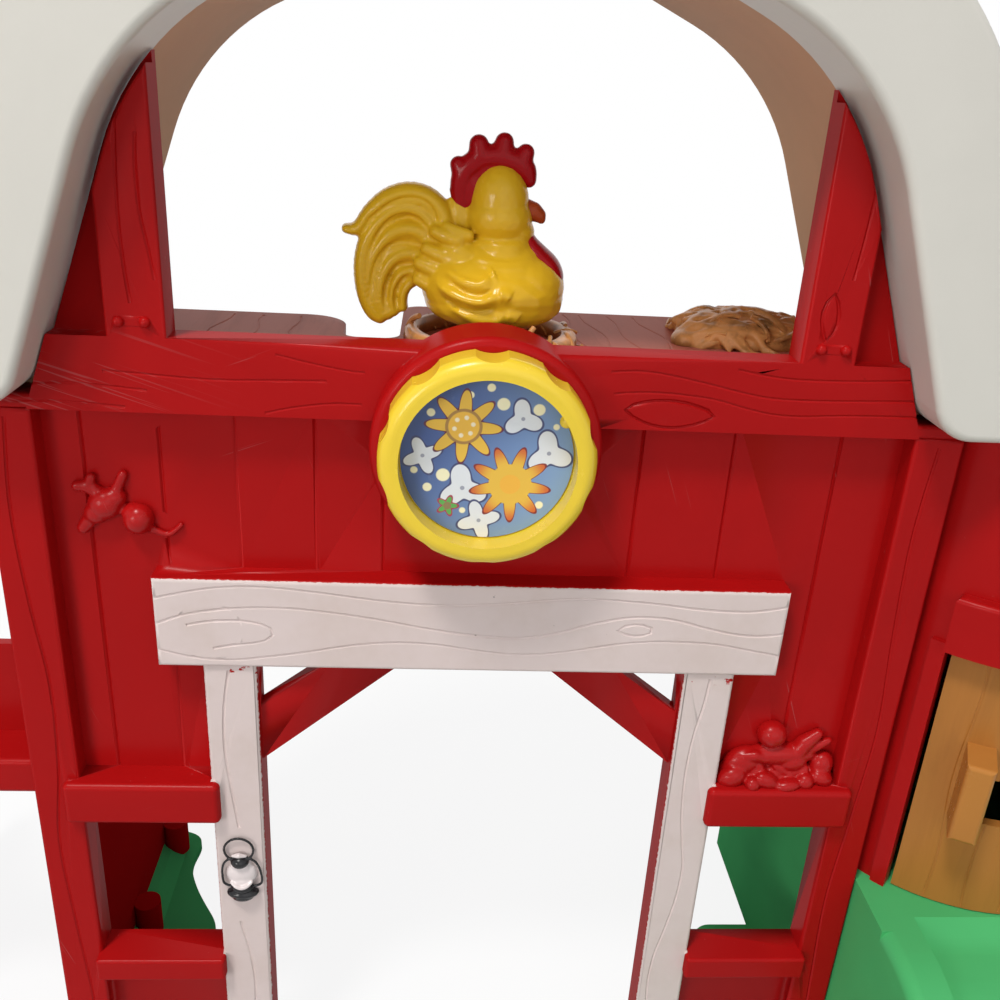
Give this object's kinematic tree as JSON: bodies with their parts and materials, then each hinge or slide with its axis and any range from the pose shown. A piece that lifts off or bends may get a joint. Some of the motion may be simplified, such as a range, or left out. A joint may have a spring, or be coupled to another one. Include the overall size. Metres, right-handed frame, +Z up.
{
  "type": "toy barn",
  "caption": "Play barn with an arched roof, a hand-spun dial over the open doorway, a press-down rooster in the loft, a side stall, and a silo with a hinged door above a slide.",
  "frame": {"origin": "bottom centre of the whole toy's bounding box, on the ground", "axes": "+X towards the silo, at the right of someone facing the front; +Y from the front wall towards the back; +Z up"},
  "size_m": [0.394, 0.244, 0.3433],
  "materials": {
    "red_plastic": "moulded gloss with fine wear",
    "cream_plastic": "moulded satin gloss",
    "brown_plastic": "moulded plank grain",
    "straw_plastic": "moulded straw",
    "yellow_plastic": "moulded gloss",
    "comb_red": "gloss",
    "beak_orange": "gloss",
    "black_plastic": "matte",
    "white_plastic": "matte",
    "case_plastic": "moulded satin",
    "label_print": "printed label",
    "tan_plastic": "moulded plank lines",
    "light_tan_plastic": "moulded gloss",
    "green_plastic": "moulded gloss",
    "pearl_white": "pearl gloss",
    "board_green": "solder mask",
    "cell_jacket": "printed sleeve",
    "nickel": "plated",
    "screw_steel": "zinc plated"
  },
  "bodies": {
    "barn": {"base_plate": "green_plastic", "battery_cells": "cell_jacket", "battery_contacts": "nickel", "battery_cover": "case_plastic", "case_screws": "screw_steel", "circuit_board": "board_green", "cover_screw": "screw_steel", "dome_screws": "screw_steel", "floor_screws": "screw_steel", "front_wall": "red_plastic", "harvest_relief": "red_plastic", "hay_heap": "straw_plastic", "hill": "green_plastic", "hill_screws": "screw_steel", "lantern_frame": "black_plastic", "lantern_globe": "pearl_white", "loft_floor": "brown_plastic", "mouse_relief": "red_plastic", "plate_screws": "screw_steel", "roof_liner": "cream_plastic", "roof_screws": "screw_steel", "roof_shell": "cream_plastic", "rooster_spring": "screw_steel", "rooster_switch": "black_plastic", "shell_screws": "screw_steel", "side_wall_left": "red_plastic", "side_wall_right": "red_plastic", "silo_dome": "cream_plastic", "silo_pin": "screw_steel", "silo_screws": "screw_steel", "silo_shell": "red_plastic", "sound_case": "case_plastic", "sound_chip": "black_plastic", "speaker": "black_plastic", "stall_front": "red_plastic", "stall_screws": "screw_steel", "stall_side": "red_plastic", "straw_nest": "straw_plastic", "wall_screws": "screw_steel"},
    "dial": {"dial_ring": "yellow_plastic", "dial_label": "label_print", "dial_cam": "white_plastic", "dial_screw": "screw_steel"},
    "rooster": {"rooster_body": "yellow_plastic", "rooster_comb": "comb_red", "rooster_beak": "beak_orange", "rooster_wattle": "comb_red", "rooster_plunger": "black_plastic"},
    "silo_door": {"silo_door": "tan_plastic", "silo_pull": "light_tan_plastic"},
    "power_slider": {"power_slider": "black_plastic"}
  },
  "joints": [
    {"name": "dial_spin", "type": "hinge", "parent": "barn", "child": "dial", "pos_m": [-0.013, 0.014, 0.2094], "axis": [0, -1, 0], "continuous": true},
    {"name": "rooster_press", "type": "slide", "parent": "barn", "child": "rooster", "axis": [0, 0, -1], "range_m": [0, 0.003], "stiffness_N_per_m": 250, "springref_m": -0.004, "deforming": ["rooster_spring"]},
    {"name": "silo_door_hinge", "type": "hinge", "parent": "barn", "child": "silo_door", "pos_m": [0.17123, 0.01303, 0.08], "axis": [0, 0, 1], "range_deg": [0, 110]},
    {"name": "power_slide", "type": "slide", "parent": "barn", "child": "power_slider", "axis": [1, 0, 0], "range_m": [0, 0.005]}
  ]
}
